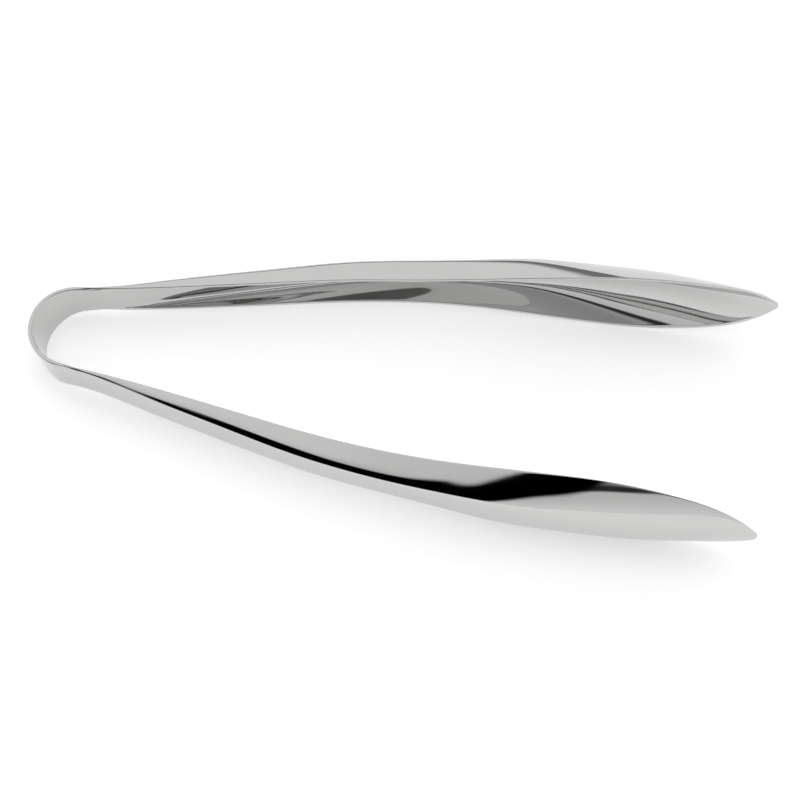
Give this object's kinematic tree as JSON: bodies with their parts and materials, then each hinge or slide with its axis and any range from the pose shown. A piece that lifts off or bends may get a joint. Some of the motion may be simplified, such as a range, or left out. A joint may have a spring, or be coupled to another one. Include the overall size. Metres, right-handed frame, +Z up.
{
  "type": "ice tongs",
  "caption": "Sprung one-piece ice tongs: a U-bend bow, two channel-section arms and two leaf-shaped scoops in mirror-polished stainless steel.",
  "frame": {"origin": "centre of the bounding box's underside: half way from the bow to the tips, midway between the arms, at the height of the scoops' lower edges, on which the tongs lie", "axes": "+X from the bow to the tips, +Y across the opening towards the left arm, +Z up, across the width of the strip, with the tongs lying on their side"},
  "size_m": [0.175, 0.0656, 0.0248],
  "materials": {
    "polished_steel": "mirror-polished stainless steel"
  },
  "bodies": {
    "bow": {"spring_bow": "polished_steel"},
    "left_arm": {"left_handle": "polished_steel", "left_scoop": "polished_steel"},
    "right_arm": {"right_handle": "polished_steel", "right_scoop": "polished_steel"}
  },
  "joints": [
    {"name": "left_squeeze", "type": "hinge", "parent": "bow", "child": "left_arm", "pos_m": [-0.08326, 0.00656, 0.0124], "axis": [0, 0, -1], "range_deg": [-2.5, 9.4], "stiffness_Nm_per_rad": 5.3, "deforming": ["spring_bow"]},
    {"name": "right_squeeze", "type": "hinge", "parent": "bow", "child": "right_arm", "pos_m": [-0.08326, -0.00656, 0.0124], "axis": [0, 0, 1], "range_deg": [-2.5, 9.4], "stiffness_Nm_per_rad": 5.3, "deforming": ["spring_bow"]}
  ],
  "couplings": [
    {"joint": "right_squeeze", "follows": "left_squeeze", "ratio": 1}
  ]
}
